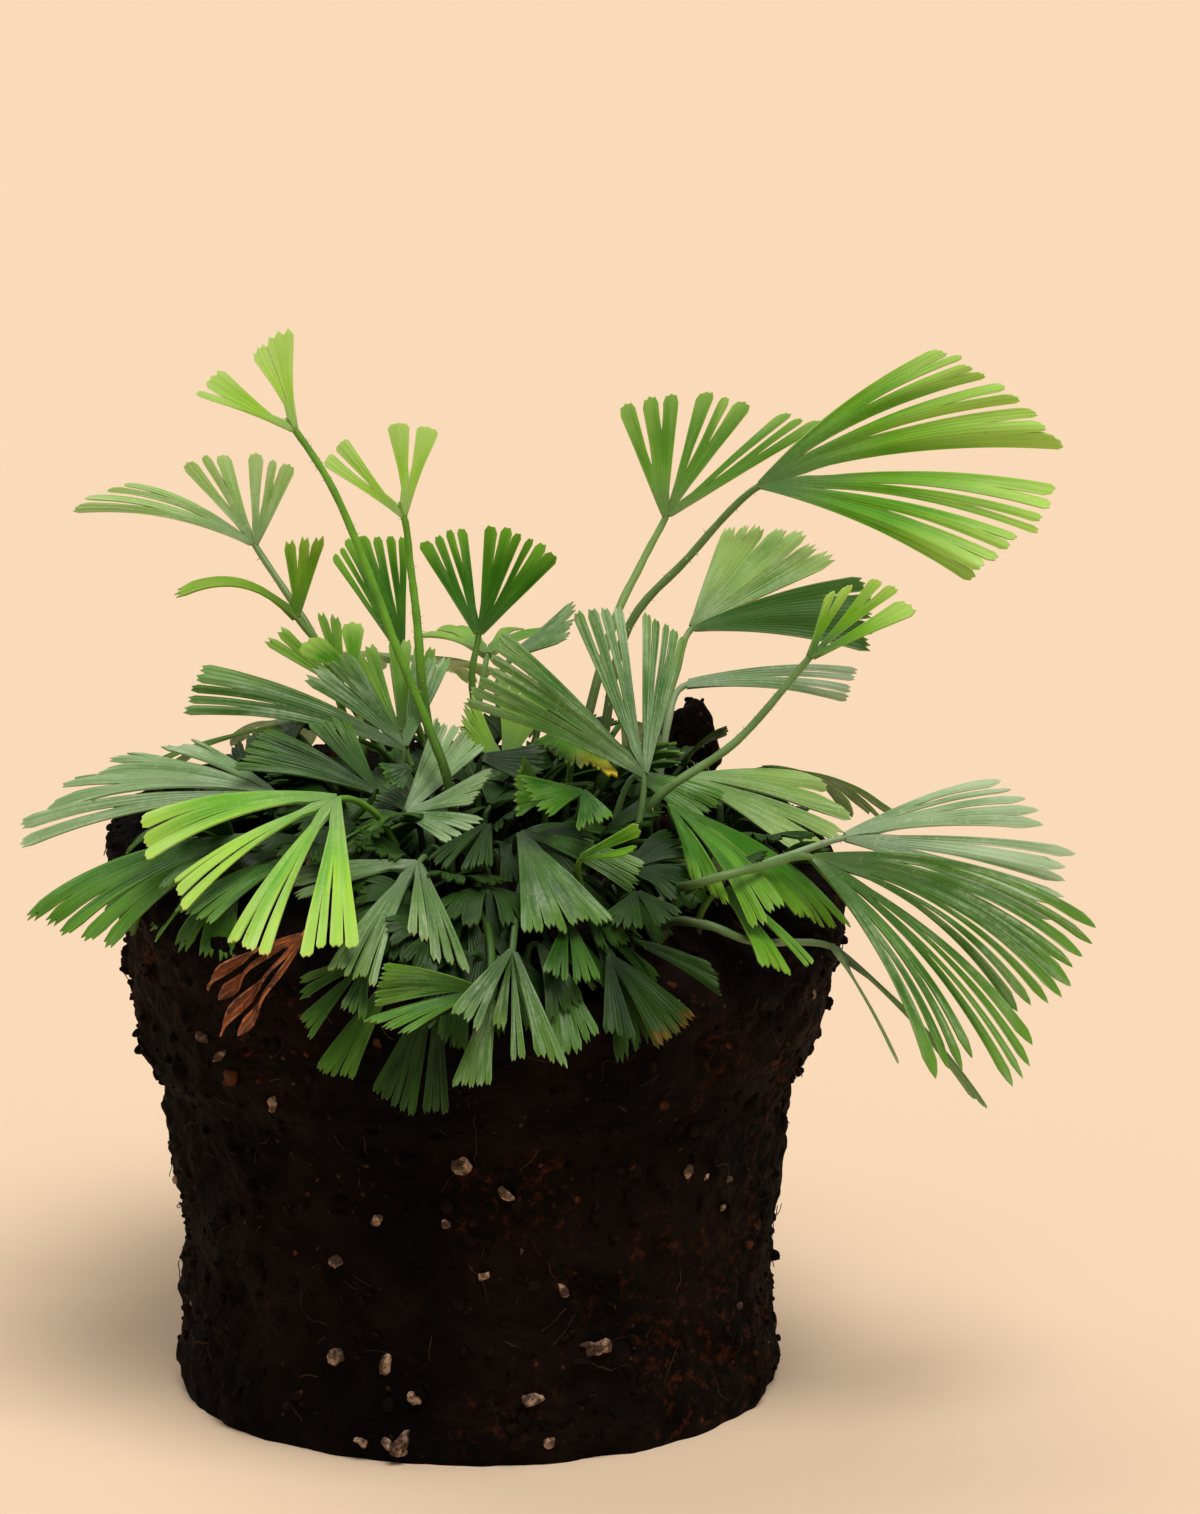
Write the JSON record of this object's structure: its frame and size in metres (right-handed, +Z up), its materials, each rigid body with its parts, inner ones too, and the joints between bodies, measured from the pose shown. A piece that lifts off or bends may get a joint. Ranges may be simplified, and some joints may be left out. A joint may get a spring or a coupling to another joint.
{
  "type": "unpotted fern plug",
  "caption": "Small fern with fan-shaped, finely cut fronds on thin stems, growing from a bare tapered root ball of dark peat; it has no pot.",
  "frame": {"origin": "centre of the root ball's flat base", "axes": "+Z up; the side that the picture shows faces -Y, and +X is to its right"},
  "size_m": [0.0809, 0.0719, 0.081],
  "materials": {
    "soil": "rough, moist peat",
    "frond_bright": "satin",
    "frond_dark": "satin",
    "frond_dead": "dry and matte",
    "frond_green": "satin",
    "frond_grey": "silvery sheen",
    "frond_lime": "satin, young and half see-through",
    "frond_olive": "satin",
    "frond_yellow": "satin, yellow at some tips"
  },
  "bodies": {
    "root": {"root_ball": "soil", "frond_tall_left": "frond_lime", "frond_tall_mid": "frond_lime", "frond_back_left_high": "frond_dark", "frond_back_left_olive": "frond_olive", "frond_lime_small_left": "frond_lime", "frond_dark_behind_lime": "frond_dark", "frond_back_mid_left": "frond_dark", "frond_back_mid": "frond_dark", "frond_back_mid_low": "frond_grey", "frond_centre_fan": "frond_grey", "frond_right_bright": "frond_bright", "frond_back_right_high": "frond_dark", "frond_back_right_pale": "frond_grey", "frond_right_grey_low": "frond_grey", "frond_right_lime": "frond_lime", "frond_right_mid": "frond_green", "frond_right_silver": "frond_grey", "frond_right_green_low": "frond_green", "frond_right_low": "frond_bright", "frond_right_front": "frond_bright", "frond_right_front_low": "frond_bright", "frond_front_left_lime": "frond_lime", "frond_left_dark_under": "frond_dark", "frond_left_far": "frond_grey", "frond_left_low": "frond_green", "frond_left_long": "frond_grey", "frond_left_dark": "frond_dark", "frond_left_deep": "frond_dark", "frond_middle_deep": "frond_dark", "frond_right_deep": "frond_grey", "frond_centre_silver": "frond_grey", "frond_small_dark": "frond_dark", "frond_centre_green": "frond_green", "frond_centre_yellow_tip": "frond_yellow", "frond_lime_bud": "frond_lime", "frond_centre_dark": "frond_grey", "frond_left_front_silver": "frond_grey", "frond_front_left_green": "frond_green", "frond_front_mid": "frond_grey", "frond_front_low_silver": "frond_grey", "frond_front_low_dark": "frond_dark", "frond_front_low_left": "frond_dark", "frond_front_far_left": "frond_dark", "frond_front_right_silver": "frond_grey", "frond_front_right_green": "frond_green", "frond_front_right_orange": "frond_yellow", "frond_front_right_dark": "frond_dark", "frond_dead_left": "frond_dead", "frond_filler_front": "frond_dark", "frond_filler_right": "frond_dark", "frond_filler_back": "frond_dark", "frond_filler_mid_left": "frond_dark", "frond_right_shadow": "frond_dark", "frond_rear_left": "frond_green", "frond_rear_mid_left": "frond_grey", "frond_rear_mid": "frond_dark", "frond_rear_mid_right": "frond_dark", "frond_rear_right": "frond_green", "frond_rear_far_right": "frond_green"}
  },
  "joints": []
}
